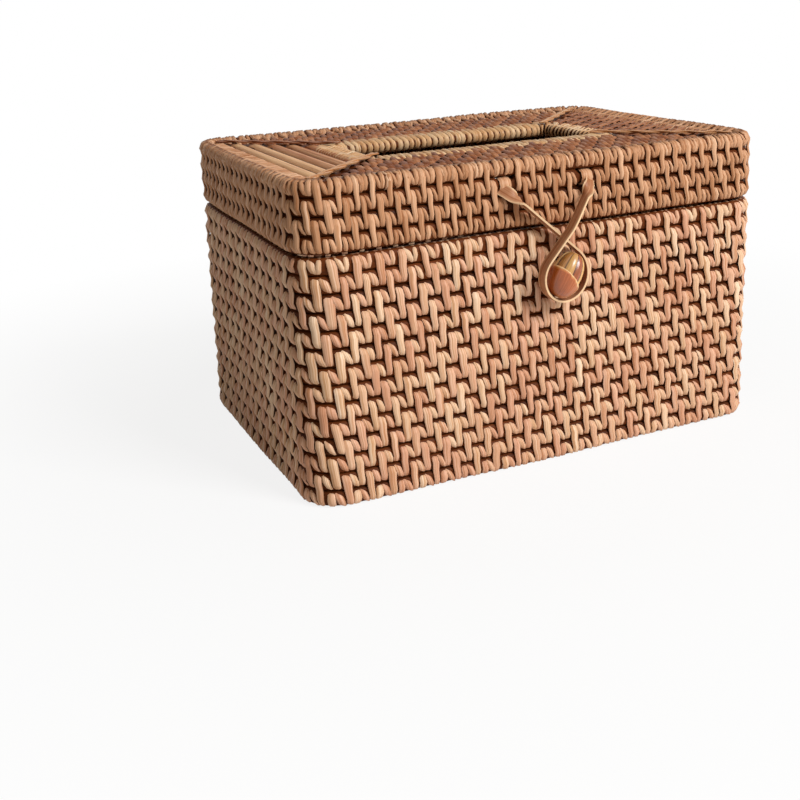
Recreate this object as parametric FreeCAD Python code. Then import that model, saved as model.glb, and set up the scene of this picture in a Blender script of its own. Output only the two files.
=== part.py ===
import FreeCAD, Part
import math
import os

Vector = FreeCAD.Vector

# Outside of the box, in millimetres. The front is towards -Y and the underside is z = 0.
box_length = 190.0
box_depth = 130.0
corner_radius = 14.0

# Courses: each one is a rattan hoop with its peel binding, stacked at an even pitch.
course_pitch = 6.35
course_gap = 0.2
base_courses = 14
lid_courses = 4
lid_seat_gap = 0.6
rest_flat = 0.5

# Floor of the base: hoops inside hoops around a straight spine, held clear of the table.
floor_rise = 0.6
floor_bend_radius = 4.0

# Lid top: hoops inside hoops fill the border round the tissue slot, a little below the lid's edge.
slot_end_border = 48.0
slot_side_border = 47.0
top_hoops = 6
top_drop = 1.1
top_bend_radius = 6.0

# Peel ties that lie along the four mitres of the lid top.
mitre_tie_width = 3.2
mitre_tie_thickness = 0.9
mitre_tie_gap = 0.1
mitre_tie_reach = 1.4

# Peel strip used for the hinge loops, the clasp and the toggle's tie.
strip_width = 4.5
strip_thickness = 0.7
eye_clearance = 0.3
eye_inset = 0.1
eye_side_gap = 0.4
hinge_spacing = 100.0

# Clasp: a strip loop that hangs from the lid and goes round the toggle on the base.
clasp_offset = -1.4
clasp_spread = 33.4
clasp_course = 3
strand_gap = 0.7
strand_layer_gap = 0.4
loop_slack = 2.0

# Toggle: a knot of folded strip, tied to a course below the base's rim.
toggle_offset = 1.2
toggle_courses_below_rim = 2
toggle_length = 15.5
toggle_thickness = 12.5
toggle_end_width = 5.0
toggle_bands = 12
toggle_tilt = 30.0
toggle_wall_gap = 0.6
toggle_stem_diameter = 3.6
toggle_stem_depth = 4.0
toggle_stem_clearance = 0.05

# Worked-out sizes
hoop_radius = (course_pitch - course_gap) / 2
wall_half_x = box_length / 2 - hoop_radius
wall_half_y = box_depth / 2 - hoop_radius
wall_bend_radius = corner_radius - hoop_radius
slot_length = box_length - 2 * slot_end_border
slot_width = box_depth - 2 * slot_side_border
eye_outer_radius = hoop_radius - eye_inset
eye_inner_radius = eye_outer_radius - strip_thickness
neck_radius = eye_inner_radius - eye_clearance
neck_length = strip_width + 2 * eye_side_gap
rim_z = hoop_radius - rest_flat + (base_courses - 1) * course_pitch
seam_step = 2 * hoop_radius + lid_seat_gap
x_axis = Vector(1, 0, 0)
y_axis = Vector(0, 1, 0)
z_axis = Vector(0, 0, 1)


def base_course_z(course):
    """Height of the middle of a base course, counted from 1 at the table."""
    return rim_z - (base_courses - course) * course_pitch


def lid_course_z(course):
    """Height of the middle of a lid course, counted from 1 at the seam."""
    return rim_z + seam_step + (course - 1) * course_pitch


def hoop(half_x, half_y, bend, z, radius):
    """A round rod bent into a closed rectangle with rounded corners."""
    edges = []
    quarter = math.pi / 2
    for turn in range(4):
        start_angle = (turn - 1) * quarter
        side_x = half_x - bend if turn in (0, 1) else bend - half_x
        side_y = half_y - bend if turn in (1, 2) else bend - half_y
        arc = [
            Vector(side_x + bend * math.cos(angle), side_y + bend * math.sin(angle), z)
            for angle in (start_angle, start_angle + quarter / 2, start_angle + quarter)
        ]
        if edges:
            edges.append(Part.LineSegment(edges[-1].Vertexes[-1].Point, arc[0]).toShape())
        edges.append(Part.Arc(*arc).toShape())
    edges.append(Part.LineSegment(edges[-1].Vertexes[-1].Point, edges[0].Vertexes[0].Point).toShape())
    start = edges[0].Vertexes[0].Point
    section = Part.Wire(Part.makeCircle(radius, start, x_axis))
    return Part.Wire(edges).makePipeShell([section], True, False)


def pare(rod, x, y, z):
    """Cut a rod that runs along X down to its neck, where a strip eye goes round it."""
    start = Vector(x - neck_length / 2, y, z)
    outside = Part.makeCylinder(2 * hoop_radius, neck_length, start, x_axis)
    neck = Part.makeCylinder(neck_radius, neck_length, start, x_axis)
    return rod.cut(outside.cut(neck))


def strip_eye(x, y, z):
    """A ring of strip round a neck."""
    start = Vector(x - strip_width / 2, y, z)
    outside = Part.makeCylinder(eye_outer_radius, strip_width, start, x_axis)
    return outside.cut(Part.makeCylinder(eye_inner_radius, strip_width, start, x_axis))


def stadium(half_length, radius):
    """A flat face with two straight sides and round ends, long along X, in the XY plane."""
    right = Part.Arc(
        Vector(half_length, -radius, 0), Vector(half_length + radius, 0, 0), Vector(half_length, radius, 0)
    ).toShape()
    left = Part.Arc(
        Vector(-half_length, radius, 0), Vector(-half_length - radius, 0, 0), Vector(-half_length, -radius, 0)
    ).toShape()
    top = Part.LineSegment(Vector(half_length, radius, 0), Vector(-half_length, radius, 0)).toShape()
    bottom = Part.LineSegment(Vector(-half_length, -radius, 0), Vector(half_length, -radius, 0)).toShape()
    return Part.Face(Part.Wire([right, top, left, bottom]))


def hinge_loop(x):
    """A strip loop round the lid's lowest course and the base's rim course, at the back."""
    outside = stadium(seam_step / 2, eye_outer_radius).extrude(Vector(0, 0, strip_width))
    inside = stadium(seam_step / 2, eye_inner_radius).extrude(Vector(0, 0, strip_width))
    loop = outside.cut(inside)
    loop.rotate(Vector(0, 0, 0), y_axis, -90)
    loop.translate(Vector(x + strip_width / 2, wall_half_y, rim_z + seam_step / 2))
    return loop


def floor_spine(half_length, radius, z):
    """The straight rod with round ends in the middle of the floor."""
    rod = Part.makeCylinder(radius, 2 * half_length, Vector(-half_length, 0, z), x_axis)
    for end in (-half_length, half_length):
        rod = rod.fuse(Part.makeSphere(radius, Vector(end, 0, z)))
    return rod.removeSplitter()


def mitre_tie(start, end, z):
    """A flat tie with round ends that lies on the hoops along a mitre, from start to end."""
    middle = (start + end) / 2
    along = end - start
    tie = stadium(along.Length / 2, mitre_tie_width / 2).extrude(Vector(0, 0, mitre_tie_thickness))
    tie.rotate(Vector(0, 0, 0), z_axis, math.degrees(math.atan2(along.y, along.x)))
    tie.translate(Vector(middle.x, middle.y, z))
    return tie


def toggle_barrel(x, y, z):
    """The knot: a barrel whose sides bulge in even bands, tilted in the plane of the front wall."""
    half_length = toggle_length / 2
    middle = toggle_thickness / 2
    rise = middle - toggle_end_width / 2
    bulge_radius = (half_length ** 2 + rise ** 2) / (2 * rise)
    reach = math.asin(half_length / bulge_radius)
    corners = [Vector(0, 0, -half_length)]
    for band in range(toggle_bands + 1):
        turn = reach * (2 * band / toggle_bands - 1)
        out = middle - bulge_radius * (1 - math.cos(turn))
        corners.append(Vector(out, 0, bulge_radius * math.sin(turn)))
    corners.append(Vector(0, 0, half_length))
    outline = Part.makePolygon(corners + corners[:1])
    barrel = Part.Face(outline).revolve(Vector(0, 0, 0), z_axis, 360)
    barrel.rotate(Vector(0, 0, 0), y_axis, toggle_tilt)
    barrel.translate(Vector(x, y, z))
    return barrel


def ease(share):
    """A share from 0 to 1 that starts and ends gently."""
    share = min(max(share, 0.0), 1.0)
    return share * share * (3 - 2 * share)


def strand_section(point, along, twist, lift):
    """The strip's rectangle at a point of the clasp: flat on the wall at twist 0, edge on at 1."""
    angle = twist * math.pi / 2
    across = Vector(-along.z, 0, along.x) * math.cos(angle) + y_axis * math.sin(angle)
    through = along.cross(across)
    stand_off = strip_width / 2 * math.sin(angle) + strip_thickness / 2 * math.cos(angle)
    layer = lift * (strip_width + strand_layer_gap)
    middle = Vector(point.x, -box_depth / 2 - strand_gap - stand_off - layer, point.z)
    half_width = across * (strip_width / 2)
    half_thickness = through * (strip_thickness / 2)
    corners = [
        middle + half_width + half_thickness,
        middle + half_width - half_thickness,
        middle - half_width - half_thickness,
        middle - half_width + half_thickness,
    ]
    return Part.makePolygon(corners + corners[:1])


def direction(reach):
    """The angle of a line in the plane of the front wall, from +X towards +Z."""
    return math.atan2(reach.z, reach.x)


def clasp_strand(anchor_z, toggle_z):
    """The strip from the left eye, under the toggle and up to the right eye, crossing itself."""
    strand_stations = 5
    bend_stations = 12
    twist_share = 0.6
    layer_share = 0.35
    radius = toggle_length / 2 + loop_slack
    centre = Vector(toggle_offset, 0, toggle_z)
    left = Vector(clasp_offset - clasp_spread / 2, 0, anchor_z - strip_width / 2)
    right = Vector(clasp_offset + clasp_spread / 2, 0, left.z)
    leave_angle = direction(left - centre) - math.acos(radius / (left - centre).Length)
    arrive_angle = direction(right - centre) + math.acos(radius / (right - centre).Length)
    sweep = 2 * math.pi + leave_angle - arrive_angle
    leave = centre + Vector(radius * math.cos(leave_angle), 0, radius * math.sin(leave_angle))
    arrive = centre + Vector(radius * math.cos(arrive_angle), 0, radius * math.sin(arrive_angle))
    down = (leave - left).normalize()
    up = (right - arrive).normalize()
    sections = []
    for station in range(strand_stations):
        share = station / strand_stations
        sections.append(strand_section(left + (leave - left) * share, down, ease(share / twist_share), 0))
    for station in range(bend_stations + 1):
        share = station / bend_stations
        angle = leave_angle - share * sweep
        point = centre + Vector(radius * math.cos(angle), 0, radius * math.sin(angle))
        along = Vector(math.sin(angle), 0, -math.cos(angle))
        sections.append(strand_section(point, along, 1, share))
    for station in range(1, strand_stations + 1):
        share = station / strand_stations
        lift = 1 - ease((share - layer_share) / (1 - layer_share))
        twist = ease((1 - share) / twist_share)
        sections.append(strand_section(arrive + (right - arrive) * share, up, twist, lift))
    return Part.makeLoft(sections, True, False)


def clasp_eye(x, z):
    """An eye round a neck of the lid course, with the tongue that the strand starts from."""
    front = -box_depth / 2 - strand_gap - strip_thickness
    back = -wall_half_y - (eye_inner_radius + eye_outer_radius) / 2
    corner = Vector(x - strip_width / 2, front, z - strip_width / 2)
    tongue = Part.makeBox(strip_width, back - front, strip_width / 2, corner)
    return strip_eye(x, -wall_half_y, z).fuse(tongue)


parts = {}

# Floor of the base
floor_steps = round(wall_half_y / course_pitch)
floor_pitch = wall_half_y / floor_steps
floor_radius = (floor_pitch - course_gap) / 2
floor_z = base_course_z(1) + floor_rise
for step in range(1, floor_steps):
    inset = step * floor_pitch
    bend = max(wall_bend_radius - inset, floor_bend_radius)
    ring = hoop(wall_half_x - inset, wall_half_y - inset, bend, floor_z, floor_radius)
    parts[f"floor_hoop_{step:02d}"] = ring
spine_half_length = wall_half_x - floor_steps * floor_pitch
parts["floor_spine"] = floor_spine(spine_half_length, floor_radius, floor_z)

# Wall of the base
toggle_course = base_courses - toggle_courses_below_rim
toggle_z = base_course_z(toggle_course)
for course in range(1, base_courses + 1):
    z = base_course_z(course)
    ring = hoop(wall_half_x, wall_half_y, wall_bend_radius, z, hoop_radius)
    if course == 1:
        table_corner = Vector(-box_length / 2, -box_depth / 2, -hoop_radius)
        ring = ring.cut(Part.makeBox(box_length, box_depth, hoop_radius, table_corner))
    if course == toggle_course:
        ring = pare(ring, toggle_offset, -wall_half_y, z)
    if course >= base_courses - 1:
        for side in (-1, 1):
            ring = pare(ring, side * hinge_spacing / 2, wall_half_y, z)
    parts[f"base_wall_hoop_{course:02d}"] = ring

# Toggle on the front of the base
toggle_y = -box_depth / 2 - toggle_wall_gap - toggle_thickness / 2
stem_start = Vector(toggle_offset, -wall_half_y - (eye_inner_radius + eye_outer_radius) / 2, toggle_z)
stem_end_y = -box_depth / 2 - toggle_wall_gap - toggle_stem_depth
stem_length = stem_start.y - stem_end_y
stem = Part.makeCylinder(toggle_stem_diameter / 2, stem_length, stem_start, -y_axis)
socket_radius = toggle_stem_diameter / 2 + toggle_stem_clearance
socket = Part.makeCylinder(socket_radius, stem_length + toggle_stem_clearance, stem_start, -y_axis)
parts["toggle_tie"] = strip_eye(toggle_offset, -wall_half_y, toggle_z).fuse(stem)
parts["toggle_knot"] = toggle_barrel(toggle_offset, toggle_y, toggle_z).cut(socket)

# Wall of the lid
for course in range(1, lid_courses + 1):
    z = lid_course_z(course)
    ring = hoop(wall_half_x, wall_half_y, wall_bend_radius, z, hoop_radius)
    if course == 1:
        for side in (-1, 1):
            ring = pare(ring, side * hinge_spacing / 2, wall_half_y, z)
    if course == clasp_course:
        for side in (-1, 1):
            ring = pare(ring, clasp_offset + side * clasp_spread / 2, -wall_half_y, z)
    name = "lid_edge_hoop" if course == lid_courses else f"lid_wall_hoop_{course:02d}"
    parts[name] = ring

# Top of the lid, from the edge in to the slot's rim
room_x = wall_half_x - slot_length / 2 - hoop_radius - (top_hoops + 1) * course_gap
room_y = wall_half_y - slot_width / 2 - hoop_radius - (top_hoops + 1) * course_gap
top_radius = min(room_x, room_y) / (2 * top_hoops + 2)
top_z = lid_course_z(lid_courses) - top_drop
first_inset = hoop_radius + course_gap + top_radius
top_pitch_x = (wall_half_x - first_inset - slot_length / 2 - top_radius) / top_hoops
top_pitch_y = (wall_half_y - first_inset - slot_width / 2 - top_radius) / top_hoops
mitre_ends = []
for step in range(top_hoops + 1):
    half_x = wall_half_x - first_inset - step * top_pitch_x
    half_y = wall_half_y - first_inset - step * top_pitch_y
    name = "slot_rim_hoop" if step == top_hoops else f"lid_top_hoop_{step + 1:02d}"
    parts[name] = hoop(half_x, half_y, top_bend_radius, top_z, top_radius)
    corner_inset = top_bend_radius * (1 - math.sqrt(0.5))
    mitre_ends.append(Vector(half_x - corner_inset, half_y - corner_inset, 0))

# Ties along the mitres
tie_z = top_z + top_radius + mitre_tie_gap
tie_along = (mitre_ends[0] - mitre_ends[-1]).normalize()
tie_start = mitre_ends[0] + tie_along * mitre_tie_reach
tie_end = mitre_ends[-1]
for front_back, side_y in (("front", -1), ("back", 1)):
    for left_right, side_x in (("left", -1), ("right", 1)):
        start = Vector(side_x * tie_start.x, side_y * tie_start.y, 0)
        end = Vector(side_x * tie_end.x, side_y * tie_end.y, 0)
        parts[f"lid_mitre_tie_{front_back}_{left_right}"] = mitre_tie(start, end, tie_z)

# Hinge loops at the back
parts["hinge_loop_left"] = hinge_loop(-hinge_spacing / 2)
parts["hinge_loop_right"] = hinge_loop(hinge_spacing / 2)

# Clasp loop on the front of the lid
anchor_z = lid_course_z(clasp_course)
clasp = clasp_strand(anchor_z, toggle_z)
for side in (-1, 1):
    clasp = clasp.fuse(clasp_eye(clasp_offset + side * clasp_spread / 2, anchor_z))
parts["clasp_loop"] = clasp

os.makedirs("parts", exist_ok=True)
for name, shape in parts.items():
    solid = shape.Solids[0]
    solid.exportStep(f"parts/{name}.step")
    print(name, len(shape.Solids), shape.isValid(), round(solid.Volume, 1))
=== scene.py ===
import bpy
import math
import numpy as np
from mathutils import Matrix, Vector


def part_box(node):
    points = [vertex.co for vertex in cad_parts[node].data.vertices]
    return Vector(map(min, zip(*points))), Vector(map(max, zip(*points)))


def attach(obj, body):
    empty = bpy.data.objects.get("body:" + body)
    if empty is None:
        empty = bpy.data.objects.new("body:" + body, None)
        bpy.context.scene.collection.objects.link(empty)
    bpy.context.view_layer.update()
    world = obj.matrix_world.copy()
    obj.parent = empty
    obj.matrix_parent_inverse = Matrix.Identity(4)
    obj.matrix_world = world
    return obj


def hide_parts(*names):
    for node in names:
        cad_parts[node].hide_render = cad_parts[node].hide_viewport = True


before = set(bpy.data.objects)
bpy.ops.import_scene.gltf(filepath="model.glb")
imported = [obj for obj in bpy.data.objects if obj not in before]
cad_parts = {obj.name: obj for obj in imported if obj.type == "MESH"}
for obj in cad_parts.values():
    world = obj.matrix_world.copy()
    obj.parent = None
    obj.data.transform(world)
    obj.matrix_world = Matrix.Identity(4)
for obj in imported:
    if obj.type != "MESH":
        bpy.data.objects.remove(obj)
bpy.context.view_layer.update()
bpy.ops.object.select_all(action="DESELECT")

# Floor of the base. Nine rattan rods are bent into closed hoops that lie one inside the next round
# a straight spine. Split peel binds them side by side: each long stitch goes round two neighbours
# with a short wrap beside its head, and one more stitch holds each corner.
mm = 0.001
draw = np.random.default_rng(seed=23)
weld_reach = 0.02 * mm
crease_angle = math.radians(50)
no_limit = (math.inf, math.inf)
bind_thickness = 1.0 * mm
long_width = 2.9 * mm
short_width = 2.75 * mm
short_step = 2.6 * mm
stitch_pitch = 8.287 * mm
stitch_slant = 0.5 * mm
tail_share = 0.85
short_slant = 0.25
long_lift = 0.12 * mm
strip_squash = 0.93
strip_sag = 1.7
strip_sides = 6
row_spread = 40 * mm
width_scatter = (-0.13, 0.1)
puff_scatter = (-0.03, 0.035)
slip_scatter = 0.12 * mm
lean_scatter = 0.035
valley_dip = 0.55 * mm
half_turn_steps = 4
cane_sides = 12
core_fullness = 0.7
core_touch = 0.03 * mm
neck_radius = 1.6 * mm
sway_waves = [(0.26 * mm, 3, 38, 0.0), (0.16 * mm, 7, -61, 1.0)]
lift_waves = [(0.2 * mm, 4, 45, 1.7), (0.13 * mm, 9, -30, 4.0)]
floor_count = 9
floor_bend = 4.0 * mm
floor_link = 2.0 * mm
corner_swell = 0.6
wall_corner = 14.0 * mm
diagonal = math.sqrt(0.5)


def srgb(red, green, blue):
    """A colour as it is seen, 0 to 255, in the linear values that a shader takes."""
    return tuple(((c / 255 + 0.055) / 1.055) ** 2.4 for c in (red, green, blue)) + (1.0,)


class Dye:
    """A value in a finish. Sums on it add Math nodes, and add() makes any other node."""

    def __init__(self, tree, socket=None):
        self.tree = tree
        self.socket = socket

    def add(self, kind, settings=None, sockets=None, out=0):
        node = self.tree.nodes.new("ShaderNode" + kind)
        for name, value in (settings or {}).items():
            if name == "stops":
                ramp = node.color_ramp.elements
                while len(ramp) < len(value):
                    ramp.new(1.0)
                for stop, (place, colour) in zip(ramp, value):
                    stop.position = place
                    stop.color = colour
            else:
                setattr(node, name, value)
        for name, value in (sockets or {}).items():
            if isinstance(value, Dye):
                self.tree.links.new(value.socket, node.inputs[name])
            else:
                node.inputs[name].default_value = value
        return Dye(self.tree, node.outputs[out] if node.outputs else None)

    def sum(self, operation, a, b):
        return self.add("Math", {"operation": operation}, {0: a, 1: b})

    def __add__(self, other):
        return self.sum("ADD", self, other)

    def __radd__(self, other):
        return self.sum("ADD", other, self)

    def __sub__(self, other):
        return self.sum("SUBTRACT", self, other)

    def __rsub__(self, other):
        return self.sum("SUBTRACT", other, self)

    def __mul__(self, other):
        return self.sum("MULTIPLY", self, other)

    def __rmul__(self, other):
        return self.sum("MULTIPLY", other, self)

    def value(self, name):
        """A number that the mesh carries at each of its points."""
        return self.add("Attribute", {"attribute_name": name}, out="Fac")

    def noise(self, x, y, z, detail=3.0):
        """Soft noise from 0 to 1 over three values."""
        place = self.add("CombineXYZ", {}, {0: x, 1: y, 2: z})
        return self.add("TexNoise", {}, {"Vector": place, "Scale": 1.0, "Detail": detail})

    def span(self, low, high):
        """This value stretched so that low gives 0 and high gives 1, and held there."""
        return self.add("MapRange", {}, {0: self, 1: low, 2: high, 3: 0.0, 4: 1.0})

    def ramp(self, share, colours):
        """Colours that follow one another at even steps as the share goes from 0 to 1."""
        stops = [(i / (len(colours) - 1), colour) for i, colour in enumerate(colours)]
        return self.add("ValToRGB", {"stops": stops}, {0: share})

    def blend(self, share, first, second, mode="MIX"):
        """Two colours mixed or multiplied by a share."""
        settings = {"data_type": "RGBA", "blend_type": mode}
        return self.add("Mix", settings, {0: share, 6: first, 7: second}, out=2)


def new_finish(name):
    """An empty node tree for a finish, and the dye that starts its sums."""
    finish = bpy.data.materials.new(name)
    finish.use_nodes = True
    finish.node_tree.nodes.clear()
    return finish, Dye(finish.node_tree)


def coat(dye, colour, roughness, height, depth, lacquer, gloss=0.12):
    """The surface itself: colour, roughness and fine relief, under a thin lacquer."""
    relief = dye.add("Bump", {}, {"Strength": 0.5, "Distance": depth, "Height": height})
    sockets = {
        "Base Color": colour, "Roughness": roughness, "Normal": relief,
        "Specular IOR Level": gloss, "Coat Weight": lacquer, "Coat Roughness": 0.3,
    }
    surface = dye.add("BsdfPrincipled", {}, sockets)
    dye.add("OutputMaterial", {}, {"Surface": surface})


def peel_finish(name, colours, edge_and_shade_colour, lacquer=0.04, edge_share=0.3):
    """Split peel: each strip has its own tone and fine fibres along it. Its edges are tinted with the edge
    colour, and painted shade darkens it where it turns in round the rod.
    """
    grains_per_metre = 70.0
    tone_share = 0.45
    patch_share = 0.5
    least_tone = 0.02
    smoothest = 0.36
    fibre_roughness = 0.24
    fibre_relief = 0.12 * mm
    fibre_tint = srgb(208, 180, 152)
    no_tint = srgb(255, 255, 255)
    finish, dye = new_finish(name)
    tone = dye.value("tone")
    across = dye.value("across")
    crest = dye.value("crest")
    where = dye.add("TexCoord", {}, {}, out="Object")
    axes = [dye.add("SeparateXYZ", {}, {0: where}, out=i) for i in range(3)]
    along = (axes[0] + axes[1] + axes[2]) * grains_per_metre

    def grain(over, down, shift, detail):
        return dye.noise(across * over + tone * shift[0], along * down, tone * shift[1], detail)

    fibre = grain(over=3.4, down=0.45, shift=(61.0, 17.0), detail=4.0)
    patch = grain(over=0.6, down=1.3, shift=(29.0, 43.0), detail=3.0)
    mixed = tone * tone_share + patch * patch_share + least_tone
    base = dye.ramp(mixed, colours)
    streak = dye.blend(fibre.span(low=0.34, high=0.66), fibre_tint, no_tint)
    streaked = dye.blend(1.0, base, streak, "MULTIPLY")
    # Edge tint: with a dark colour, the peel's own darker edge together with painted shade where strips
    # meet; with the clasp's pale colour, a painted highlight.
    edge = (across * across).span(low=0.45, high=1.1)
    edge_tinted = dye.blend(edge * edge_share, streaked, edge_and_shade_colour)
    # Painted shade: the strip darkens where it turns in round the rod, into the valleys between rods.
    nip_shaded = dye.blend(1.0 - crest.span(low=-0.1, high=0.4), edge_tinted, edge_and_shade_colour)
    coat(dye, nip_shaded, smoothest + fibre_roughness * fibre, fibre, fibre_relief, lacquer)
    return finish


def cane_finish(name, light, dark, gloss=0.12):
    """Bare rattan rod: long streaks of a light and a dark brown that run with the rod."""
    streaks_across = 3.0
    streaks_per_metre = 14.0
    clouds_per_metre = 45.0
    streak_shift = 31.0
    cloud_shift = 47.0
    streak_share = 0.7
    cloud_share = 0.5
    tone_share = 0.4
    darkening = 0.3
    smoothest = 0.4
    streak_roughness = 0.25
    streak_relief = 0.15 * mm
    finish, dye = new_finish(name)
    tone = dye.value("tone")
    lead = dye.value("grain_lead")
    side = dye.value("grain_side")
    rise = dye.value("grain_rise")
    over = side * streaks_across + tone * streak_shift
    streak = dye.noise(over, rise * streaks_across, lead * streaks_per_metre, detail=4.0)
    cloud = dye.noise(tone * cloud_shift, side + rise, lead * clouds_per_metre)
    mixed = streak * streak_share + cloud * cloud_share + tone * tone_share - darkening
    colour = dye.blend(mixed.span(low=0.22, high=0.82), dark, light)
    roughness = smoothest + streak_roughness * streak
    coat(dye, colour, roughness, streak, streak_relief, lacquer=0.02, gloss=gloss)
    return finish


def hoop_size(node):
    """Half length, half depth, height and radius of a hoop's rod with its binding."""
    low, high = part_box(node)
    radius = (high.z - low.z) / 2
    return high.x - radius, high.y - radius, high.z - radius, radius


def places(piece):
    """The points of a piece as rows of x, y, z."""
    flat = np.empty(3 * len(piece.data.vertices), np.float32)
    piece.data.vertices.foreach_get("co", flat)
    return flat.reshape(-1, 3).astype(float)


def put(piece, points):
    """Move the points of a piece."""
    piece.data.vertices.foreach_set("co", points.astype(np.float32).ravel())
    piece.data.update()


def mark(piece, name, numbers):
    """Write one number at each point of a piece for its finish to read."""
    layer = piece.data.attributes.new(name, "FLOAT", "POINT")
    layer.data.foreach_set("value", np.asarray(numbers, np.float32))


def waver(waves, lead, height):
    """How far a hand-bent wall strays, by waves of a size, a count round, a climb and a start."""
    return sum(size * np.sin(lead * count + height * climb + start) for size, count, climb, start in waves)


def lap_length(half_x, half_y, bend):
    """Length once round a hoop."""
    return 4 * (half_x + half_y - 2 * bend) + 2 * math.pi * bend


def carry_round(points, half_x, half_y, bend, loose):
    """Bend what lies straight along X, front to -Y, round the four corners of a hoop."""
    runs = [2 * (half_x - bend), 2 * (half_y - bend)] * 2
    turn = bend * math.pi / 2
    lap = lap_length(half_x, half_y, bend)
    lead = (points[:, 0] + runs[0] / 2) % lap
    way_round = lead / lap * 2 * math.pi
    reach = bend - points[:, 1] + waver(sway_waves, way_round, points[:, 2]) * loose
    placed = points.copy()
    placed[:, 2] += waver(lift_waves, way_round, points[:, 2]) * loose
    start = 0.0
    for side, run in enumerate(runs):
        heading = side * math.pi / 2
        here = (lead >= start) & (lead <= start + run + turn)
        past = lead[here] - start - run
        angle = heading + np.maximum(past, 0) / bend
        before = np.minimum(past, 0)
        corner_x = (half_x - bend) * (1 if side < 2 else -1)
        corner_y = (half_y - bend) * (1 if side in (1, 2) else -1)
        placed[here, 0] = corner_x + reach[here] * np.sin(angle) + before * math.cos(heading)
        placed[here, 1] = corner_y - reach[here] * np.cos(angle) + before * math.sin(heading)
        start += run + turn
    return placed


def set_row(piece, count, step):
    """Copy a piece along X with an array, and apply it."""
    row = piece.modifiers.new("row", "ARRAY")
    row.count = count
    row.use_relative_offset = False
    row.use_constant_offset = True
    row.constant_offset_displace = (step, 0, 0)
    row.use_merge_vertices = True
    row.merge_threshold = weld_reach / 2
    bpy.ops.object.modifier_apply(modifier=row.name)


def cane(length, half_depth, half_height, link_length, fullness=1.0):
    """A straight rod along X, its middle at the origin, with a ring of points at each link."""
    links = round(length / link_length)
    link = length / links
    lying = (0, math.pi / 2, 0)
    bpy.ops.mesh.primitive_cylinder_add(
        vertices=cane_sides, radius=1, depth=link, end_fill_type="NOTHING", rotation=lying
    )
    rod = bpy.context.object
    bpy.ops.object.transform_apply(location=False, rotation=True, scale=False)
    set_row(rod, links, link)
    points = places(rod)
    points[:, 0] += (link - length) / 2
    points[:, 1:] = np.sign(points[:, 1:]) * np.abs(points[:, 1:]) ** fullness
    mark(rod, "grain_lead", points[:, 0])
    mark(rod, "grain_side", points[:, 1])
    mark(rod, "grain_rise", points[:, 2])
    mark(rod, "tone", np.full(len(points), draw.uniform()))
    put(rod, points * (1, half_depth, half_height))
    return rod


def way_from(place, other, lap):
    """How far along a hoop one place is from another, the shorter way round."""
    return (place - other + lap / 2) % lap - lap / 2


def round_corner(lead, half_x, half_y, bend):
    """How far round its corner, from 0 to 1, each place along a hoop lies."""
    run_x, run_y = 2 * (half_x - bend), 2 * (half_y - bend)
    turn = bend * math.pi / 2
    past = (lead + run_x / 2) % (run_x + run_y + 2 * turn) - run_x
    past = np.where(past > turn, past - turn - run_y, past)
    return np.clip(past / turn, 0, 1)


def bent_cane(corner, height, section, link_length, loose, finish, necks=(), reach=no_limit, swell=0):
    """A core rod bent into a hoop. It is pared at necks, held to a reach and pressed wide at corners."""
    lap = lap_length(*corner)
    rod = cane(lap, *section, link_length, core_fullness)
    points = places(rod)
    points[:, 1] *= 1 + swell * np.sin(math.pi * round_corner(points[:, 0], *corner))
    points[:, 2] = np.clip(points[:, 2], -reach[0], reach[1])
    for neck, half_neck in necks:
        pared = np.abs(way_from(points[:, 0], neck, lap)) < half_neck + link_length / 2
        points[pared, 1] *= neck_radius / section[0]
        points[pared, 2] *= neck_radius / section[1]
    points[:, 2] += height
    put(rod, carry_round(points, *corner, loose))
    bpy.ops.object.mode_set(mode="EDIT")
    bpy.ops.mesh.select_all(action="SELECT")
    bpy.ops.mesh.remove_doubles(threshold=weld_reach)
    bpy.ops.object.mode_set(mode="OBJECT")
    bpy.ops.object.shade_smooth()
    rod.data.materials.append(finish)
    return rod


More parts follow.
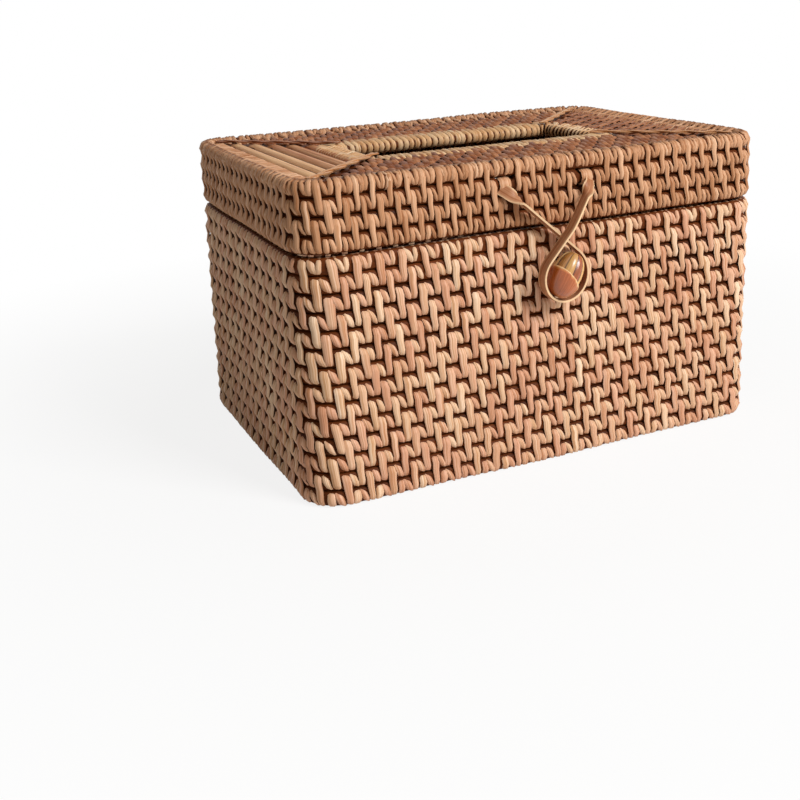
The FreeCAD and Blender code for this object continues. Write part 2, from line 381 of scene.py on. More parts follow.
def peel_loop(width, core, drop, finish, tail=tail_share, squash=strip_squash, thickness=bind_thickness):
    """A strip round the rod at the origin and, with a drop, the rod that far below it too.
    A squashed strip is marked for painted shade where it turns in round the rod; one that isn't squashed
    gets none."""
    half_side = math.pi / strip_sides
    bpy.ops.mesh.primitive_circle_add(vertices=strip_sides, radius=1, rotation=(0, 0, half_side))
    strip = bpy.context.object
    bpy.ops.object.transform_apply(location=False, rotation=True, scale=False)
    strip.scale = (width / 2, thickness / (2 * math.cos(half_side)), 1)
    strip.location = (0, -core - thickness / 2, 0)
    bpy.ops.object.transform_apply(location=True, rotation=False, scale=True)
    bpy.ops.object.mode_set(mode="EDIT")
    bpy.ops.mesh.select_all(action="SELECT")
    if drop:
        half_way = {"value": (0, valley_dip, -drop / 2)}
        down = {"value": (0, -valley_dip, -drop / 2)}
        bpy.ops.mesh.extrude_region_move(TRANSFORM_OT_translate=half_way)
        bpy.ops.mesh.extrude_region_move(TRANSFORM_OT_translate=down)
        bpy.ops.mesh.spin(steps=half_turn_steps, angle=-math.pi, center=(0, 0, -drop), axis=(1, 0, 0))
        bpy.ops.mesh.extrude_region_move(TRANSFORM_OT_translate={"value": (0, 0, drop)})
        bpy.ops.mesh.spin(steps=half_turn_steps, angle=-math.pi, center=(0, 0, 0), axis=(1, 0, 0))
    else:
        bpy.ops.mesh.spin(steps=2 * half_turn_steps, angle=-2 * math.pi, center=(0, 0, 0), axis=(1, 0, 0))
    bpy.ops.mesh.select_all(action="SELECT")
    bpy.ops.mesh.remove_doubles(threshold=weld_reach)
    bpy.ops.mesh.normals_make_consistent(inside=False)
    bpy.ops.object.mode_set(mode="OBJECT")
    bpy.ops.object.shade_smooth_by_angle(angle=crease_angle)
    points = places(strip)
    mark(strip, "across", points[:, 0] / (width / 2))
    if drop:
        points[:, 0] *= 1 - (1 - tail) * np.clip(-points[:, 2] / drop, 0, 1)
    between = np.clip(points[:, 2], -drop, 0)
    points[:, 2] = between + (points[:, 2] - between) * squash
    put(strip, points)
    # Crest: how far out from the rod each point stands; the finish paints shade where it is low.
    crest = np.abs(points[:, 1]) / (core + thickness)
    mark(strip, "crest", crest if squash < 1 else np.ones(len(points)))
    strip.data.materials.append(finish)
    return strip


def strip_row(strip, centres, slant):
    """A row of strips at these places along X, each cut and pulled a little differently."""
    bpy.ops.object.select_all(action="DESELECT")
    strip.select_set(True)
    bpy.context.view_layer.objects.active = strip
    bpy.ops.object.duplicate()
    row = bpy.context.object
    count = len(centres)
    set_row(row, count, row_spread)
    points = places(row).reshape(count, -1, 3)
    own = points[..., 0] - row_spread * np.arange(count)[:, None]
    wide = 1 + draw.uniform(*width_scatter, count)[:, None]
    slip = draw.normal(0, slip_scatter, count)[:, None]
    lean = slant + draw.normal(0, lean_scatter, count)[:, None]
    puff = 1 + draw.uniform(*puff_scatter, count)[:, None]
    points[..., 0] = np.asarray(centres)[:, None] + own * wide + slip - lean * points[..., 2]
    points[..., 2] -= strip_sag * lean * own
    points[..., 1] *= puff
    put(row, points.reshape(-1, 3))
    mark(row, "tone", np.repeat(draw.uniform(size=count), points.shape[1]))
    return row


def join(name, pieces):
    """Make one piece of several."""
    bpy.ops.object.select_all(action="DESELECT")
    for piece in pieces:
        piece.select_set(True)
    bpy.context.view_layer.objects.active = pieces[0]
    bpy.ops.object.join()
    joined = bpy.context.object
    joined.name = name
    joined.data.name = name
    bpy.ops.object.select_all(action="DESELECT")
    return joined


def seat(piece, body, slot, *nodes):
    """Fix a finished piece to its body in place of its plain solids."""
    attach(piece, body)
    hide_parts(*nodes)
    return piece


def discard(*pieces):
    """Clear away a pattern strip once its rows are laid."""
    for piece in pieces:
        bpy.data.objects.remove(piece)


def flat_rows(strips, upper, lower, half_run, shift, turn):
    """Bind two straight rods that lie side by side; each is given as (distance out, height)."""
    out, up = lower[0] - upper[0], lower[1] - upper[1]
    reach = int(half_run / stitch_pitch) + 1
    heads = stitch_pitch * (np.arange(-reach, reach + 1) + shift)
    heads = heads[np.abs(heads) < half_run]
    slants = (stitch_slant / math.hypot(out, up), short_slant)
    rows = []
    for strip, step, slant in zip(strips, (0, short_step), slants):
        row = strip_row(strip, heads + step, slant)
        row.rotation_euler = (math.atan2(-out, -up), 0, turn)
        row.location = Matrix.Rotation(turn, 3, "Z") @ Vector((0, -upper[0], upper[1]))
        bpy.ops.object.transform_apply(location=True, rotation=True, scale=True)
        rows.append(row)
    return rows


wall_colours = [srgb(188, 136, 100), srgb(225, 176, 148), srgb(239, 206, 174), srgb(255, 236, 216)]
# Brown for the peel's darker edges, together with painted shade, and for painted shade where strips turn
# in between rods.
edge_and_shade_brown = srgb(92, 44, 14)
wall_peel = peel_finish("wall_peel", wall_colours, edge_and_shade_brown)
# Core rods: their own brown, darkened to paint the shade that falls in the gaps between courses.
shaded_core_cane = cane_finish("shaded_core_cane", srgb(104, 52, 22), srgb(56, 25, 8), gloss=0.05)

floor_hoops = [f"floor_hoop_{i:02d}" for i in range(1, floor_count + 1)]
floor_sizes = [hoop_size(node) for node in floor_hoops]
floor_pitch = floor_sizes[0][0] - floor_sizes[1][0]
floor_core = floor_sizes[0][3] - bind_thickness
floor_height = floor_sizes[0][2]
floor_section = (floor_pitch / 2 + core_touch, floor_core)
floor_strips = [
    peel_loop(long_width, floor_core + long_lift, floor_pitch, wall_peel),
    peel_loop(short_width, floor_core, 0, wall_peel),
]
spine_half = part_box("floor_spine")[1].x - floor_sizes[0][3]
inner_sizes = floor_sizes[1:] + [(spine_half, 0.0, floor_height, floor_sizes[0][3])]
wall_bend = wall_corner - hoop_size("base_wall_hoop_02")[3]
for step, (node, outer, inner) in enumerate(zip(floor_hoops, floor_sizes, inner_sizes), 1):
    half_x, half_y, height = outer[:3]
    bend = max(wall_bend - step * floor_pitch, floor_bend)
    corner = (half_x, half_y, bend)
    bound = [bent_cane(corner, height, floor_section, floor_link, 0, shaded_core_cane, swell=corner_swell)]
    for side in range(4):
        along, depth = (0, 1) if side % 2 == 0 else (1, 0)
        half_run = inner[along] - floor_bend / 2
        if half_run > stitch_pitch / 2:
            shift = 0.5 * ((step + side // 2) % 2)
            ends = (outer[depth], height), (inner[depth], height)
            bound += flat_rows(floor_strips, *ends, half_run, shift, side * math.pi / 2)
    inner_bend = max(bend - floor_pitch, floor_bend)
    if inner[1] > inner_bend:
        tip = np.array(outer[:2]) - bend * (1 - diagonal)
        inner_tip = np.array(inner[:2]) - inner_bend * (1 - diagonal)
        corner_reach = np.hypot(*(tip - inner_tip))
        corner_strip = peel_loop(long_width, floor_core + long_lift, corner_reach, wall_peel)
        for side in range(4):
            side_x = 1 if side < 2 else -1
            side_y = 1 if side in (1, 2) else -1
            stitch = strip_row(corner_strip, [0.0], 0)
            stitch.rotation_euler = (math.pi / 2, 0, (side + 0.5) * math.pi / 2)
            stitch.location = (side_x * tip[0], side_y * tip[1], height)
            bpy.ops.object.transform_apply(location=True, rotation=True, scale=True)
            bound.append(stitch)
        discard(corner_strip)
    seat(join(f"floor_course_{step:02d}", bound), "base", "floor_rattan", node)
spine = cane(2 * spine_half, *floor_section, floor_link)
points = places(spine)
points[:, 2] += floor_height
put(spine, points)
bpy.ops.object.mode_set(mode="EDIT")
bpy.ops.mesh.select_all(action="DESELECT")
bpy.ops.mesh.select_non_manifold()
bpy.ops.mesh.edge_face_add()
bpy.ops.mesh.fill_holes(sides=0)
bpy.ops.object.mode_set(mode="OBJECT")
bpy.ops.object.shade_smooth_by_angle(angle=crease_angle)
spine.data.materials.append(shaded_core_cane)
seat(join("floor_spine_rod", [spine]), "base", "floor_rattan", "floor_spine")
discard(*floor_strips)

# Wall of the base. Fourteen rattan courses of the same rod, each bound to the one below by long
# stitches of split peel. The stitches lean a little and stand half a step apart from row to row,
# so that a dark gap shows under each one. The lowest course is pressed flat where it stands.
wall_link = 1.6 * mm
full_turn = 0.999
course_drift = -0.6 * mm
base_courses = 14
wall_x, wall_y, second_height, wall_radius = hoop_size("base_wall_hoop_02")
course_pitch = hoop_size("base_wall_hoop_03")[2] - second_height
wall_core = wall_radius - bind_thickness
wall_section = (wall_core, course_pitch / 2 + core_touch)
free_reach = 2.1 * mm
seam_reach = 2.75 * mm
brim_width = 1.8 * mm
brim_step = 4.75 * mm
neck_margin = 0.4 * mm
wall_lap = lap_length(wall_x, wall_y, wall_bend)
wall_stitches = round(wall_lap / stitch_pitch)


def course_height(course):
    """Height of the middle of a course of the base. The second is the lowest that is round."""
    return second_height + (course - 2) * course_pitch


def course_shift(course):
    """How far along, in stitches, a course starts: half a stitch by turns, and a steady drift."""
    return 0.5 * (course % 2) - course * course_drift / stitch_pitch


def wall_heads(course, stitches):
    """Where the stitches of a course sit on the way round."""
    pitch = wall_lap / stitches
    return pitch * (np.arange(stitches) - stitches / 2 + course_shift(course))


def clear_of(heads, step, necks):
    """The heads whose strip, this far along from the head, stays off every neck."""
    kept = np.ones(len(heads), bool)
    for neck, half_neck in necks:
        bare = half_neck + neck_margin + long_width / 2
        kept &= np.abs(way_from(heads + step, neck, wall_lap)) > bare
    return heads[kept]


def round_wall(piece, height):
    """Take a straight row to its height on the wall, and stand nothing below the table."""
    points = places(piece)
    points[:, 2] += height
    points = carry_round(points, wall_x, wall_y, wall_bend, 1)
    points[:, 2] = np.maximum(points[:, 2], 0)
    put(piece, points)


def wall_course(name, course, height, binding, more_short, necks, necks_below, reach):
    """One course: its rod, its stitches down to the course below and its short wraps."""
    strips, cap_step, stitches = binding
    corner = (wall_x, wall_y, wall_bend)
    bound = [bent_cane(corner, height, wall_section, wall_link, 1, shaded_core_cane, necks, reach)]
    heads = wall_heads(course, stitches)
    bound.append(strip_row(strips[1], clear_of(heads, cap_step, necks) + cap_step, short_slant))
    for step in more_short:
        bound.append(strip_row(strips[2], clear_of(heads, step, necks) + step, 0))
    if necks_below is not None:
        heads = clear_of(heads, 0, necks)
        through = clear_of(heads, stitch_slant, necks_below)
        bound.append(strip_row(strips[0], through, stitch_slant / course_pitch))
        lone = np.setdiff1d(heads, through)
        if len(lone):
            bound.append(strip_row(strips[1], lone, 0))
    for row in bound[1:]:
        round_wall(row, height)
    return join(name, bound)


def middle_of(node):
    """The middle of a node's box and half its width along X."""
    low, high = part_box(node)
    return (low + high) / 2, (high.x - low.x) / 2


wall_strips = [
    peel_loop(long_width, wall_core + long_lift, course_pitch, wall_peel),
    peel_loop(short_width, wall_core, 0, wall_peel),
    peel_loop(short_width, wall_core, 0, wall_peel, squash=full_turn),
]
wall_binding = (wall_strips, short_step, wall_stitches)
brim_strip = peel_loop(brim_width, wall_core, 0, wall_peel, squash=full_turn)
brim_binding = (wall_strips[:2] + [brim_strip], short_step, wall_stitches)
hinge_middle, hinge_half = middle_of("hinge_loop_right")
hinge_necks = [(wall_lap / 2 - hinge_middle.x, hinge_half), (wall_lap / 2 + hinge_middle.x, hinge_half)]
tie_middle, tie_half = middle_of("toggle_tie")
toggle_course = 12
base_necks = {toggle_course: [(tie_middle.x, tie_half)]}
base_necks[base_courses - 1] = hinge_necks
base_necks[base_courses] = hinge_necks
for course in range(1, base_courses + 1):
    height = course_height(course)
    below = base_necks.get(course - 1, []) if course > 1 else None
    more = {1: [0], base_courses: [brim_step]}.get(course, [])
    binding = brim_binding if course == base_courses else wall_binding
    necks = base_necks.get(course, [])
    reach = (free_reach if course == 1 else math.inf, seam_reach if course == base_courses else math.inf)
    piece = wall_course(f"base_course_{course:02d}", course, height, binding, more, necks, below, reach)
    seat(piece, "base", "wall_rattan", f"base_wall_hoop_{course:02d}")
discard(*wall_strips, brim_strip)

# Toggle. A short strip goes round the twelfth course and ends in a stem that holds the knot. The
# knot is folded from peel and lacquered: ribs run down from its top and tuck into a smooth cup
# with a pale lip.
strip_width = 4.5 * mm
peel_thickness = 0.7 * mm
eye_core = 2.275 * mm
eye_tones = (0.3, 0.8)
stem_sides = 20
stem_tone = 0.4
stem_radius = 1.8 * mm
stem_length = 5.6 * mm
stem_middle = -67.0 * mm
strip_colours = [srgb(176, 116, 76), srgb(206, 150, 104), srgb(224, 174, 126), srgb(236, 198, 150)]
# Its darker edges in this brown are partly the peel's own edge and partly painted shade.
strip_peel = peel_finish("strip_peel", strip_colours, srgb(120, 66, 36), lacquer=0.1)
toggle_height = course_height(toggle_course)
knot_middle = middle_of("toggle_knot")[0]
knot_half = 8.1 * mm
knot_belly = 5.5 * mm
knot_tilt = math.radians(30)
knot_bluntness = 0.8
rib_roundness = 0.7
groove_sharpness = 3
lip_height = -1.6 * mm
lip_normal = Vector((0.42, 0.2, 0.9)).normalized()
lip_depth = 0.7 * mm
knot_ribs = 9
rib_height = 0.45 * mm
cup_lift = 0.4 * mm
cup_wall = 0.7 * mm
cup_tone = 0.4
cup_shade_swing = 0.2
cup_shade_turn = 1.0
lip_bevel = 0.25 * mm
lip_bevel_steps = 3


def strip_eye(lead, height, finish, drop=0):
    """A loop of strip round one course, or round two courses with a drop between them."""
    eye = peel_loop(strip_width, eye_core, drop, finish, 1, 1, thickness=peel_thickness)
    points = places(eye)
    points[:, 0] += lead
    put(eye, points)
    mark(eye, "tone", np.full(len(points), draw.uniform(*eye_tones)))
    round_wall(eye, height)
    return eye


def knot_shape(segments, rings, lift, ribs):
    """A rounded barrel that stands on its axis, with ribs that run from end to end."""
    bpy.ops.mesh.primitive_uv_sphere_add(segments=segments, ring_count=rings, radius=1)
    shape = bpy.context.object
    points = places(shape)
    turn = np.arctan2(points[:, 1], points[:, 0])
    level = np.clip(points[:, 2], -1, 1)
    flank = np.sqrt(1 - level ** 2) ** knot_bluntness
    ridge = np.abs(np.cos(turn * ribs / 2)) ** rib_roundness
    reach = (knot_belly + lift + rib_height * (ridge - 1)) * flank
    put(shape, np.stack([reach * np.cos(turn), reach * np.sin(turn), level * (knot_half + lift / 2)], 1))
    bpy.ops.object.shade_smooth()
    return shape, turn, level


def stand_knot(piece):
    """Tilt a part of the knot and take it to its place in front of the wall."""
    piece.rotation_euler = (0, knot_tilt, 0)
    piece.location = knot_middle
    bpy.ops.object.transform_apply(location=True, rotation=True, scale=False)


def knot_finish(name, colours, lacquer):
    """Lacquered peel in warm browns with fine streaks from end to end, and painted shade in the grooves
    between ribs.
    """
    streaks_round = 7.0
    streaks_down = 1.1
    tone_shift = (23.0, 9.0)
    tone_share = 0.85
    streak_share = 0.4
    darkening = 0.12
    smoothest = 0.18
    streak_roughness = 0.18
    streak_relief = 0.1 * mm
    groove_shade_brown = srgb(58, 22, 8)
    finish, dye = new_finish(name)
    tone = dye.value("tone")
    turn = dye.value("turn")
    level = dye.value("level")
    groove = dye.value("groove")
    over = turn * streaks_round + tone * tone_shift[0]
    streak = dye.noise(over, level * streaks_down, tone * tone_shift[1], detail=4.0)
    base = dye.ramp(tone * tone_share + streak * streak_share - darkening, colours)
    colour = dye.blend(groove, base, groove_shade_brown)
    roughness = smoothest + streak_roughness * streak
    coat(dye, colour, roughness, streak, streak_relief, lacquer, gloss=0.5)
    return finish


rib_colours = [
    srgb(120, 66, 22), srgb(200, 88, 26), srgb(226, 176, 104), srgb(150, 96, 42), srgb(236, 206, 146),
]
cup_colours = [srgb(120, 56, 18), srgb(178, 90, 34), srgb(204, 122, 58), srgb(240, 204, 148)]
knot_peel = knot_finish("knot_peel", rib_colours, lacquer=0.5)
cup_peel = knot_finish("cup_peel", cup_colours, lacquer=0.7)
tie_eye = strip_eye(tie_middle.x, toggle_height, strip_peel)
pointing_out = (math.pi / 2, 0, 0)
bpy.ops.mesh.primitive_cylinder_add(
    vertices=stem_sides, radius=stem_radius, depth=stem_length, rotation=pointing_out
)
stem = bpy.context.object
stem.location = (tie_middle.x, stem_middle, toggle_height)
bpy.ops.object.transform_apply(location=True, rotation=True, scale=False)
bpy.ops.object.shade_smooth_by_angle(angle=crease_angle)
points = places(stem)
mark(stem, "tone", np.full(len(points), stem_tone))
mark(stem, "across", (points[:, 0] - tie_middle.x) / stem_radius)
mark(stem, "crest", np.ones(len(points)))
stem.data.materials.append(strip_peel)
seat(join("toggle_tie_strip", [tie_eye, stem]), "base", "strip_peel", "toggle_tie")

ribbed, turn, level = knot_shape(segments=72, rings=20, lift=0, ribs=knot_ribs)
rib = np.floor((turn / (2 * math.pi) * knot_ribs) + 0.5).astype(int) % knot_ribs
mark(ribbed, "tone", draw.permutation(np.linspace(0, 1, knot_ribs))[rib])
mark(ribbed, "turn", turn)
mark(ribbed, "level", level)
# Groove: 1 in the creases between ribs, where the finish paints shade.
mark(ribbed, "groove", np.clip(1 - np.abs(np.cos(turn * knot_ribs / 2)) * groove_sharpness, 0, 1))
ribbed.data.materials.append(knot_peel)
stand_knot(ribbed)
cup = knot_shape(segments=48, rings=24, lift=cup_lift, ribs=0)[0]
bpy.ops.object.mode_set(mode="EDIT")
bpy.ops.mesh.select_all(action="SELECT")
bpy.ops.mesh.bisect(plane_co=(0, 0, lip_height), plane_no=lip_normal, clear_outer=True)
bpy.ops.object.mode_set(mode="OBJECT")
thicken = cup.modifiers.new("wall", "SOLIDIFY")
thicken.thickness = cup_wall
thicken.offset = 0
bpy.ops.object.modifier_apply(modifier=thicken.name)
soften = cup.modifiers.new("lip", "BEVEL")
soften.width = lip_bevel
soften.segments = lip_bevel_steps
bpy.ops.object.modifier_apply(modifier=soften.name)
points = places(cup)
turn = np.arctan2(points[:, 1], points[:, 0])
under_lip = (lip_height * lip_normal.z - points @ np.array(lip_normal)) / lip_depth
# The lip is pale; round the cup the tone swings so that it is darkest on its left, as painted shade.
mark(cup, "tone", np.where(under_lip < 1, 1.0, cup_tone + cup_shade_swing * np.sin(turn + cup_shade_turn)))
mark(cup, "turn", turn)
mark(cup, "level", points[:, 2] / knot_half)
mark(cup, "groove", np.zeros(len(turn)))
cup.data.materials.append(cup_peel)
stand_knot(cup)
seat(join("toggle_knot_folds", [ribbed, cup]), "base", "toggle_peel", "toggle_knot")

# Wall of the lid. Three more courses and the edge course above them, bound with narrower peel at a
# closer pitch. The lowest has no course under it, so its stitches are single wraps, and more of
# those fill the edge course.
lid_courses = 4
lid_pitch = 6.0 * mm
lid_long_width = 2.2 * mm
lid_short_width = 1.75 * mm
lid_short_step = 1.9 * mm
edge_step = 3.65 * mm
lid_stitches = round(wall_lap / lid_pitch)
lid_colours = [srgb(164, 110, 76), srgb(198, 150, 114), srgb(222, 178, 144), srgb(246, 214, 184)]
lid_peel = peel_finish("lid_peel", lid_colours, edge_and_shade_brown)
lid_strips = [
    peel_loop(lid_long_width, wall_core + long_lift, course_pitch, lid_peel),
    peel_loop(lid_short_width, wall_core, 0, lid_peel),
    peel_loop(lid_short_width, wall_core, 0, lid_peel, squash=full_turn),
]
lid_binding = (lid_strips, lid_short_step, lid_stitches)
lid_z = hoop_size("lid_wall_hoop_01")[2]
clasp_middle, clasp_half = middle_of("clasp_loop")
eye_reach = clasp_half - tie_half
clasp_course = 3
eye_leads = (clasp_middle.x - eye_reach, clasp_middle.x + eye_reach)
lid_necks = {1: hinge_necks, clasp_course: [(lead, tie_half) for lead in eye_leads]}
for course in range(1, lid_courses + 1):
    node = "lid_edge_hoop" if course == lid_courses else f"lid_wall_hoop_{course:02d}"
    height = lid_z + (course - 1) * course_pitch
    below = lid_necks.get(course - 1, []) if course > 1 else None
    more = {1: [0], lid_courses: [edge_step]}.get(course, [])
    necks = lid_necks.get(course, [])
    reach = (seam_reach if course == 1 else math.inf, free_reach if course == lid_courses else math.inf)
    piece = wall_course(f"lid_course_{course:02d}", course, height, lid_binding, more, necks, below, reach)
    seat(piece, "lid", "wall_rattan", node)
discard(*lid_strips)

# Top of the lid. Six hoops of a thinner, redder rod fill the border between the edge and the slot.
# Peel binds them along the front, the back and the right end. At the left end thicker rods lie
# bare and close together.
top_hoops = 6
top_link = 2.4 * mm
top_bend = 6.0 * mm
mitre_gap = 2.0 * mm
edge_x, edge_y, edge_z = hoop_size("lid_edge_hoop")[:3]
top_sizes = [hoop_size(f"lid_top_hoop_{step:02d}") for step in range(1, top_hoops + 1)]
top_height, top_radius = top_sizes[0][2:]
top_core = top_radius - bind_thickness
top_pitch = top_sizes[0][1] - top_sizes[1][1]
end_pitch = top_sizes[0][0] - top_sizes[1][0]
top_section = (max(top_pitch, end_pitch) / 2 + core_touch, top_core)
# The top's peel is darker and redder than the walls': partly its own redder tone, partly painted shade,
# which keeps the top darker than the lit front. Its dark brown gives darker edges, partly real and partly
# painted shade, and painted shade where strips turn in.
top_colours = [srgb(98, 54, 32), srgb(144, 90, 60), srgb(184, 128, 92), srgb(222, 174, 136)]
top_peel = peel_finish("top_peel", top_colours, srgb(70, 34, 18))
bare_cane = cane_finish("bare_cane", srgb(255, 208, 160), srgb(170, 98, 58), gloss=0.05)
top_short = peel_loop(short_width, top_core, 0, top_peel)
top_strips = [peel_loop(long_width, top_core + long_lift, top_pitch, top_peel), top_short]
edge_drop = math.hypot(edge_y - top_sizes[0][1], edge_z - top_height)
edge_strips = [peel_loop(lid_short_width, wall_core, edge_drop, lid_peel, tail=1, squash=1), top_short]
bare_depth = 2.85 * mm
bare_height = 2.5 * mm
outer_sizes = [(edge_x, edge_y, edge_z)] + top_sizes[:-1]
for step, (inner, outer) in enumerate(zip(top_sizes, outer_sizes), 1):
    half_x, half_y, height = inner[:3]
    corner = (half_x, half_y, top_bend)
    bound = [bent_cane(corner, height, top_section, top_link, 0, shaded_core_cane, swell=corner_swell)]
    for side in range(4 if step == 1 else 3):
        along, out = (0, 1) if side % 2 == 0 else (1, 0)
        ends = (inner[out], height), (outer[out], outer[2])
        shift = course_shift(lid_courses + step)
        strips = edge_strips if step == 1 else top_strips
        half_run = inner[along] - mitre_gap
        bound += flat_rows(strips, *ends, half_run, shift, side * math.pi / 2)
        if step == 1:
            bound += flat_rows(strips[:1], *ends, half_run, shift + 0.5, side * math.pi / 2)
    rod = cane(2 * half_y, bare_depth, bare_height, top_link)
    points = places(rod)
    points[:, 0] *= (half_y - points[:, 1]) / half_y
    put(rod, points + (0, -half_x, height))
    rod.rotation_euler = (0, 0, -math.pi / 2)
    bpy.ops.object.transform_apply(location=False, rotation=True, scale=False)
    bpy.ops.object.shade_smooth()
    rod.data.materials.append(bare_cane)
    bound.append(rod)
    seat(join(f"lid_top_course_{step:02d}", bound), "lid", "top_rattan", f"lid_top_hoop_{step:02d}")
discard(*top_strips, edge_strips[0])

# Rim of the slot. One more hoop, wrapped all the way round with bright strips of peel that lie side
# by side, reach out over the last hoop of the top and fan at the corners.
rim_x, rim_y, rim_height = hoop_size("slot_rim_hoop")[:3]
rim_width = 2.5 * mm
rim_pitch = 2.65 * mm
rim_lean = 0.3
rim_half_depth = 2.2 * mm
rim_section = (rim_half_depth, top_core)
rim_colours = [srgb(204, 150, 106), srgb(236, 196, 150), srgb(254, 236, 206)]
# Dark strip edges: the peel's own darker edge and painted shade in the gaps between neighbouring strips.
rim_peel = peel_finish("rim_peel", rim_colours, edge_and_shade_brown, lacquer=0.15, edge_share=0.9)
rim_lap = lap_length(rim_x, rim_y, top_bend)
rim_count = round(rim_lap / rim_pitch)
rim_leads = rim_lap / rim_count * (np.arange(rim_count) - rim_count / 2)
rim_core = bent_cane((rim_x, rim_y, top_bend), rim_height, rim_section, top_link, 0, shaded_core_cane)
rim_strip = peel_loop(rim_width, top_core, top_pitch, rim_peel, tail=1, squash=1)
rim_row = strip_row(rim_strip, rim_leads, rim_lean)
rim_row.rotation_euler = (-math.pi / 2, 0, 0)
bpy.ops.object.transform_apply(location=False, rotation=True, scale=False)
points = places(rim_row)
points[:, 2] += rim_height
put(rim_row, carry_round(points, rim_x, rim_y, top_bend, 0))
discard(rim_strip)
seat(join("slot_rim_wraps", [rim_core, rim_row]), "lid", "top_rattan", "slot_rim_hoop")

# Mitre ties. At each corner of the top a pair of narrow peel strips covers the mitre from the edge
# to the slot. The two cross each other on the way, so that they lie like a loose twist.
tie_strip = 1.6 * mm
tie_thickness = 0.5 * mm
tie_apart = 0.9 * mm
tie_steps = 40
tie_crossings = 5
crown_share = 0.3
ribbon_lanes = 4
ribbon_tones = (0.35, 0.95)


def ribbon(length, width, thickness, steps, finish):
    """A crowned flat strip along X with its middle at the origin and its face up."""
    bpy.ops.mesh.primitive_grid_add(x_subdivisions=steps, y_subdivisions=ribbon_lanes, size=1)
    strip = bpy.context.object
    points = places(strip)
    across = points[:, 1] * 2
    mark(strip, "across", across)
    mark(strip, "crest", np.ones(len(points)))
    mark(strip, "tone", np.full(len(points), draw.uniform(*ribbon_tones)))
    points[:, 2] = thickness * crown_share * (1 - across ** 2)
    put(strip, points * (length, width, 1))
    body = strip.modifiers.new("body", "SOLIDIFY")
    body.thickness = thickness
    body.offset = 0
    bpy.ops.object.modifier_apply(modifier=body.name)
    bpy.ops.object.shade_smooth_by_angle(angle=crease_angle)
    strip.data.materials.append(finish)
    return strip


for front_back, side_y in (("front", -1), ("back", 1)):
    for left_right, side_x in (("left", -1), ("right", 1)):
        node = f"lid_mitre_tie_{front_back}_{left_right}"
        low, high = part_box(node)
        reach = high - low
        length = math.hypot(reach.x, reach.y) - tie_strip
        tie_peel = top_peel if (side_x, side_y) == (-1, 1) else strip_peel
        pair = []
        for first_side in (-1, 1):
            tie = ribbon(length, tie_strip, tie_thickness, tie_steps, tie_peel)
            points = places(tie)
            crossing = (points[:, 0] / length + 0.5) * math.pi * tie_crossings
            points[:, 1] += first_side * tie_apart * np.cos(crossing)
            points[:, 2] += first_side * tie_thickness / 2 * np.sin(crossing)
            put(tie, points)
            tie.rotation_euler = (0, 0, math.atan2(reach.y * side_x * side_y, reach.x))
            tie.location = (low + high) / 2
            bpy.ops.object.transform_apply(location=True, rotation=True, scale=False)
            pair.append(tie)
        seat(join(f"mitre_twist_{front_back}_{left_right}", pair), "lid", "strip_peel", node)

# Hinge. Two loops of wide strip at the back go round the lid's lowest course and the rim course of
# the base, each on a neck that is left bare of binding, so that the lid can turn.
seam_step = lid_z - course_height(base_courses)
for (lead, _), side in zip(hinge_necks, ("right", "left")):
    loop = strip_eye(lead, lid_z, strip_peel, drop=seam_step)
    seat(join(f"hinge_strip_{side}", [loop]), "lid", "strip_peel", f"hinge_loop_{side}")

# Clasp. One strip hangs from two eyes on the lid, turns edge on, crosses itself and goes round
# under the toggle. It is slipped off the toggle to open the lid.
clasp_height = lid_z + (clasp_course - 1) * course_pitch
wall_front = -wall_y - wall_radius
strand_gap = 0.7 * mm
loop_radius = 9.75 * mm
layer_gap = 0.4 * mm
layer_step = strip_width + layer_gap
twist_share = 0.17
eye_sink = 2.6 * mm
layer_share = 0.35
clasp_steps = 120
clasp_head = 2.6 * mm


def ease(share):
    """A share from 0 to 1 that starts and ends gently."""
    share = np.clip(share, 0, 1)
    return share * share * (3 - 2 * share)


def front_step(angle):
    """A step of length one in the plane of the front, at an angle or at each of several."""
    return np.stack([np.cos(angle), np.sin(angle)], -1)


def tangent_angle(reach, side):
    """The angle at which a strand that comes from an eye meets the loop, on one side of it."""
    return math.atan2(reach[1], reach[0]) + side * math.acos(loop_radius / np.hypot(*reach))


def strand_stations(steps):
    """Place, run, twist, layer and sinking of the strip at even steps from eye to eye."""
    centre = np.array([tie_middle.x, toggle_height])
    left, right = (np.array([lead, clasp_height - strip_width / 2]) for lead in eye_leads)
    leave_angle = tangent_angle(left - centre, -1)
    arrive_angle = tangent_angle(right - centre, 1)
    leave, arrive = (centre + loop_radius * front_step(angle) for angle in (leave_angle, arrive_angle))
    first, last = np.hypot(*(leave - left)), np.hypot(*(right - arrive))
    sweep = 2 * math.pi + leave_angle - arrive_angle
    bow = loop_radius * sweep
    travel = np.linspace(-clasp_head, first + bow + last + clasp_head, steps)
    going = np.clip(travel / first, None, 1)
    round_bow = np.clip((travel - first) / bow, 0, 1)
    coming = np.clip((travel - first - bow) / last, 0, None)
    angle = leave_angle - round_bow * sweep
    on_bow = (travel > first)[:, None]
    back = (travel > first + bow)[:, None]
    outward = left + (leave - left) * going[:, None]
    homeward = arrive + (right - arrive) * coming[:, None]
    place = np.where(on_bow, centre + loop_radius * front_step(angle), outward)
    place = np.where(back, homeward, place)
    run = np.where(on_bow, front_step(angle - math.pi / 2), (leave - left) / first)
    twist = np.where(back[:, 0], ease((1 - coming) / twist_share), ease(going / twist_share))
    layer = np.where(back[:, 0], 1 - ease((coming - layer_share) / (1 - layer_share)), round_bow)
    past_end = np.maximum(-travel, travel - first - bow - last)
    return place, run, twist, layer, ease(past_end / clasp_head)


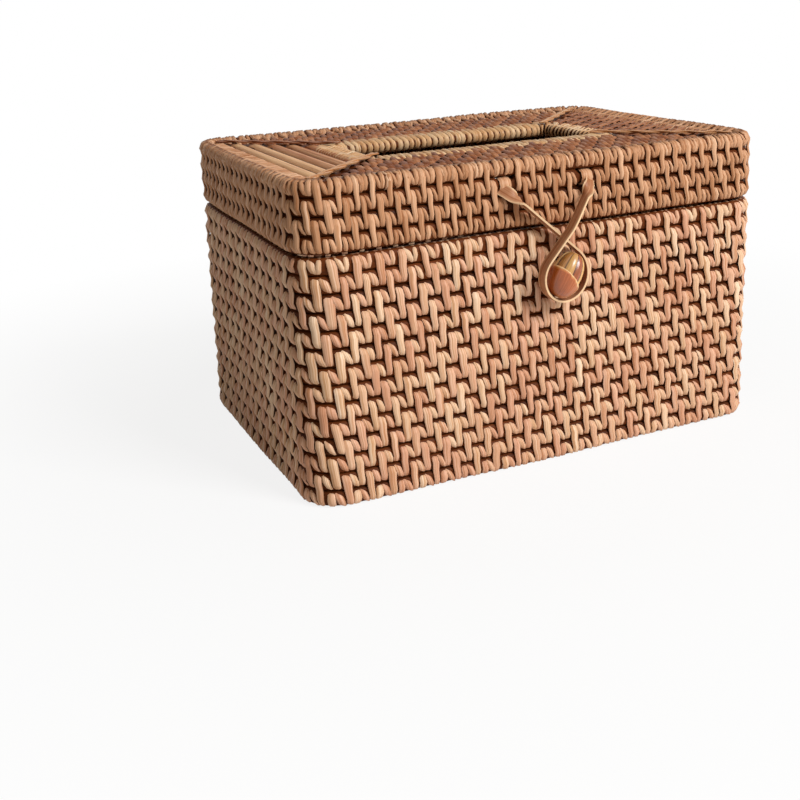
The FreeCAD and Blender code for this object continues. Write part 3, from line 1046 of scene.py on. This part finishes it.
place, run, twist, layer, sunk = strand_stations(clasp_steps + 1)
clasp_colours = [srgb(150, 98, 66), srgb(184, 132, 98), srgb(210, 162, 126)]
# Pale edges: a painted highlight along the lit edge of the strip.
painted_edge_highlight = srgb(240, 206, 164)
clasp_peel = peel_finish("clasp_peel", clasp_colours, painted_edge_highlight, lacquer=0.1, edge_share=0.9)
strand = ribbon(1, strip_width, peel_thickness, clasp_steps, clasp_peel)
points = places(strand)
station = np.rint((points[:, 0] + 0.5) * clasp_steps).astype(int)
edge_on, flat_on = np.sin(twist * math.pi / 2), np.cos(twist * math.pi / 2)
across = np.stack([-run[:, 1] * flat_on, edge_on, run[:, 0] * flat_on], 1)
face = np.cross(np.stack([run[:, 0], 0 * twist, run[:, 1]], 1), across)
stand_off = strip_width / 2 * edge_on + peel_thickness / 2 * flat_on
depth = wall_front - strand_gap - stand_off - layer * layer_step + sunk * eye_sink
line = np.stack([place[:, 0], depth, place[:, 1]], 1)
put(strand, line[station] + across[station] * points[:, 1:2] + face[station] * points[:, 2:3])
bpy.ops.object.mode_set(mode="EDIT")
bpy.ops.mesh.select_all(action="SELECT")
bpy.ops.mesh.normals_make_consistent(inside=False)
bpy.ops.object.mode_set(mode="OBJECT")
eyes = [strip_eye(lead, clasp_height, lid_peel) for lead in eye_leads]
seat(join("clasp_strip", [strand] + eyes), "clasp", "strip_peel", "clasp_loop")

# Room: a pale floor under soft studio light from the front right, seen by the camera from the
# front left and a little above.
photo_size = 800
ground_size = 6
ground_shade = 0.15
shade_near = 0.13
shade_far = 0.34
paper_grey = srgb(238, 238, 238)
white = (1, 1, 1, 1)
warm_white = (1.0, 0.92, 0.74, 1)
warm_strength = 0.2
key_place = Vector((0.55, -1.05, 0.9))
key_target = Vector((0, 0, 0.06))
key_size = 0.6
key_power = 22
focal_pixels = 1104.8
middle_pixel = (400, 260)
camera_place = (-0.20289, -0.39102, 0.17257)
camera_heading = -0.4151
camera_dip = 0.2428
camera_roll = -0.0394


def seen_plainly(dye):
    """1 for a ray from the camera, from a reflection or through glass, and 0 for one that lights."""
    kinds = ("Camera", "Glossy", "Transmission")
    seen = [dye.add("LightPath", {}, {}, out=f"Is {kind} Ray") for kind in kinds]
    return (seen[0] + seen[1] + seen[2]).span(0.0, 1.0)


bpy.ops.mesh.primitive_plane_add(size=ground_size, location=(0, 0, 0))
ground = bpy.context.object
ground.name = "ground"
ground_finish, dye = new_finish("ground")
where = dye.add("TexCoord", {}, {}, out="Object")
away = dye.add("VectorMath", {"operation": "LENGTH"}, {0: where}, out="Value")
paper = dye.add("BsdfDiffuse", {}, {"Color": paper_grey})
glow = dye.add("Emission", {}, {"Color": white, "Strength": 1.0})
plain = seen_plainly(dye) * (1 - ground_shade + ground_shade * away.span(shade_near, shade_far))
surface = dye.add("MixShader", {}, {0: plain, 1: paper, 2: glow})
dye.add("OutputMaterial", {}, {"Surface": surface})
ground.data.materials.append(ground_finish)

world = bpy.data.worlds.new("studio")
bpy.context.scene.world = world
world.use_nodes = True
world.node_tree.nodes.clear()
dye = Dye(world.node_tree)
around = dye.add("Background", {}, {"Color": warm_white, "Strength": warm_strength})
backdrop = dye.add("Background", {}, {"Color": white, "Strength": 1.0})
both = dye.add("MixShader", {}, {0: seen_plainly(dye), 1: around, 2: backdrop})
dye.add("OutputWorld", {}, {"Surface": both})

key_light = bpy.data.lights.new("key", "AREA")
key_light.size = key_size
key_light.energy = key_power
key = bpy.data.objects.new("key", key_light)
bpy.context.scene.collection.objects.link(key)
key.location = key_place
key.rotation_euler = (key_target - key_place).to_track_quat("-Z", "Y").to_euler()

camera_data = bpy.data.cameras.new("camera")
camera = bpy.data.objects.new("camera", camera_data)
bpy.context.scene.collection.objects.link(camera)
bpy.context.scene.camera = camera
camera_data.sensor_width = 36
camera_data.lens = focal_pixels / photo_size * camera_data.sensor_width
camera_data.shift_x = 0.5 - middle_pixel[0] / photo_size
camera_data.shift_y = middle_pixel[1] / photo_size - 0.5
camera_data.clip_start = 0.01
aim = Matrix.Rotation(camera_heading, 4, "Z")
aim = aim @ Matrix.Rotation(math.pi / 2 - camera_dip, 4, "X")
aim = aim @ Matrix.Rotation(camera_roll, 4, "Z")
camera.matrix_world = Matrix.Translation(camera_place) @ aim

bpy.context.scene.view_settings.view_transform = "Standard"
